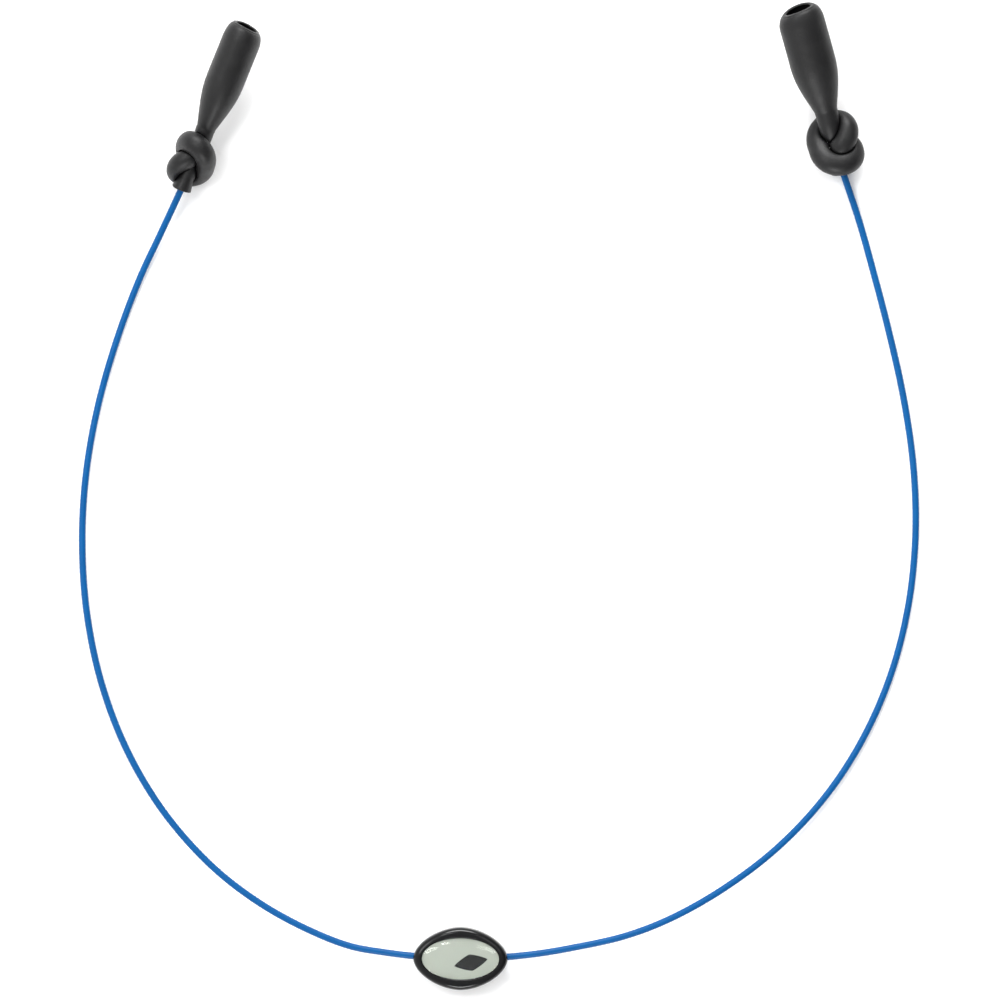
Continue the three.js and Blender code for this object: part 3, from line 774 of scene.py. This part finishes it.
# Dome. Clear resin is poured on the plate and stands up in a shallow lens, with a low side and
# a small bevel at its edge.
DOME_EDGE = 0.3 * MM
DOME_HEIGHT = 0.9 * MM
DOME_REACH = 1.3  # the lens is the middle of a dome this much wider than the face
DOME_BEVEL = 0.08 * MM
DOME_CREASE = math.radians(15)


def clear_resin():
    # Polyurethane doming resin: clear, with a smooth top that handling has dulled a little.
    made, tree = blank_material("clear_resin")
    place = add(tree, "TexCoord").outputs["Object"]
    cloud = add(tree, "TexNoise", {"Scale": 1 / (3 * MM), "Detail": 1}, {"Vector": place})
    rough = add(tree, "MapRange", {"To Min": 0.08, "To Max": 0.12}, {"Value": cloud.outputs["Fac"]})
    skin = add(tree, "BsdfPrincipled",
               {"Base Color": linear("#f7faf5"), "IOR": 1.38, "Transmission Weight": 1.0},
               {"Roughness": rough.outputs["Result"]})
    add(tree, "OutputMaterial", links={"Surface": skin.outputs["BSDF"]})
    return made


def dome_grid(low):
    """A flat underside, a low side, then ovals shrinking to the middle whose height follows the
    square root of one less the squared share of their size, as on a ball."""
    share = np.linspace(1, 0.02, 40)
    drop = 1 - math.sqrt(1 - 1 / DOME_REACH**2)
    rise = (DOME_HEIGHT - DOME_EDGE) / drop
    top = low + DOME_HEIGHT - rise + rise * np.sqrt(1 - (share / DOME_REACH) ** 2)
    base = stacked([[2 * MM, low], [FACE_GAP, low], [FACE_GAP, low + DOME_EDGE - DOME_BEVEL]],
                   FACE_LENGTH, FACE_WIDTH, FACE_POWER)
    ring = stacked([[FACE_GAP + DOME_BEVEL, 0]], FACE_LENGTH, FACE_WIDTH, FACE_POWER)[0]
    lens = ring[None] * share[:, None, None]
    lens[..., 2] = top[:, None]
    return np.concatenate([base, lens])


resin_low = plate_high + FACE_GAP
dome = bead_part("resin_dome", dome_grid(resin_low), resin_low, resin_low + DOME_HEIGHT,
                 "bead_dome", clear_resin())
dome.data.set_sharp_from_angle(angle=DOME_CREASE)

# Bush. A soft grey silicone tube inside the shells grips the cable lightly, so the medallion
# stays where it is slid to.
BUSH_BORE = 0.74 * MM


def soft_silicone():
    # Translucent grey silicone, unfilled and soft: a cloudy skin that lets a little light in.
    made, tree = blank_material("soft_silicone")
    place = add(tree, "TexCoord").outputs["Object"]
    cloud = add(tree, "TexNoise", {"Scale": 1 / (0.8 * MM), "Detail": 2}, {"Vector": place})
    colour = add(tree, "MixRGB", {"Color1": linear("#7f8386"), "Color2": linear("#989b9e")},
                 {"Fac": cloud.outputs["Fac"]})
    skin = add(tree, "BsdfPrincipled", {"IOR": 1.41, "Roughness": 0.6, "Subsurface Weight": 0.2,
                                        "Subsurface Scale": 0.5 * MM},
               {"Base Color": colour.outputs["Color"]})
    add(tree, "OutputMaterial", links={"Surface": skin.outputs["BSDF"]})
    return made


t = np.linspace(-1, 1, 25)
bush_outer = BUSH_RADIUS - 0.15 * MM * t**12
bush_radius = np.concatenate([bush_outer, BUSH_BORE + 0.1 * MM * t[::-1] ** 12])
bush_place = BUSH_LENGTH / 2 * np.concatenate([t, t[::-1]])
bush = surface("inner_bush", on_cable(lathe(bush_radius, bush_place, 40)))
bush.data.materials.append(soft_silicone())
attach(bush, "bush")
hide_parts("bead_bush")

# Table top. A plain white matt sheet that the strap lies on.
FLOOR_HALF = 3.0


def white_card():
    # Uncoated card: matt white with a breath of unevenness.
    made, tree = blank_material("white_card")
    place = add(tree, "TexCoord").outputs["Object"]
    cloud = add(tree, "TexNoise", {"Scale": 8.0, "Detail": 1}, {"Vector": place})
    colour = add(tree, "MixRGB", {"Color1": linear("#f6f6f6"), "Color2": linear("#f9f9f9")},
                 {"Fac": cloud.outputs["Fac"]})
    skin = add(tree, "BsdfPrincipled", {"Roughness": 0.9, "Specular IOR Level": 0.2},
               {"Base Color": colour.outputs["Color"]})
    add(tree, "OutputMaterial", links={"Surface": skin.outputs["BSDF"]})
    return made


card = bpy.data.meshes.new("table_top")
corners = [(-1, -1), (1, -1), (1, 1), (-1, 1)]
card.from_pydata([(FLOOR_HALF * x, FLOOR_HALF * y, 0) for x, y in corners], [], [(0, 1, 2, 3)])
card.materials.append(white_card())
table_top = bpy.data.objects.new("table_top", card)
bpy.context.scene.collection.objects.link(table_top)

# Light. A white room, brighter on the left, lights everything softly, and one soft lamp, high on
# the left and a little behind, throws faint shadows to the right. Two low panels, behind and in
# front, put the gleams on glossy edges, and two small lamps overhead glint in the resin.
ROOM_LIGHT = (1.45, 0.25)  # on the left and on the right
LIGHTS = {  # place, width and depth in metres, then power in watts
    "soft_key": ((-0.62, 0.42, 1.45), 0.42, 0.42, 6.5),
    "back_panel": ((0.0, 1.3, 0.75), 0.8, 0.4, 24.0),
    "front_panel": ((0.0, -1.35, 0.7), 0.6, 0.3, 11.0),
    "glint": ((-0.27, 0.74, 1.4), 0.16, 0.16, 1.6),
    "window": ((0.42, 0.38, 1.35), 0.45, 0.22, 2.2),
}

room_world = bpy.data.worlds.new("white_room")
room_world.use_nodes = True
room_tree = room_world.node_tree
room_tree.nodes["Background"].inputs["Color"].default_value = (1, 1, 1, 1)
aim = add(room_tree, "TexCoord")
aim = add(room_tree, "SeparateXYZ", links={"Vector": aim.outputs["Generated"]})
fade = add(room_tree, "MapRange",
           {"From Min": -1, "To Min": ROOM_LIGHT[0], "To Max": ROOM_LIGHT[1]},
           {"Value": aim.outputs["X"]})
room_tree.links.new(fade.outputs["Result"], room_tree.nodes["Background"].inputs["Strength"])
bpy.context.scene.world = room_world
for name, (place, width, depth, power) in LIGHTS.items():
    lamp = bpy.data.lights.new(name, "AREA")
    lamp.shape, lamp.size, lamp.size_y, lamp.energy = "RECTANGLE", width, depth, power
    made = bpy.data.objects.new(name, lamp)
    made.location = place
    made.rotation_euler = (-made.location).to_track_quat("-Z", "Y").to_euler()
    bpy.context.scene.collection.objects.link(made)
bpy.context.scene.view_settings.view_transform = "Standard"
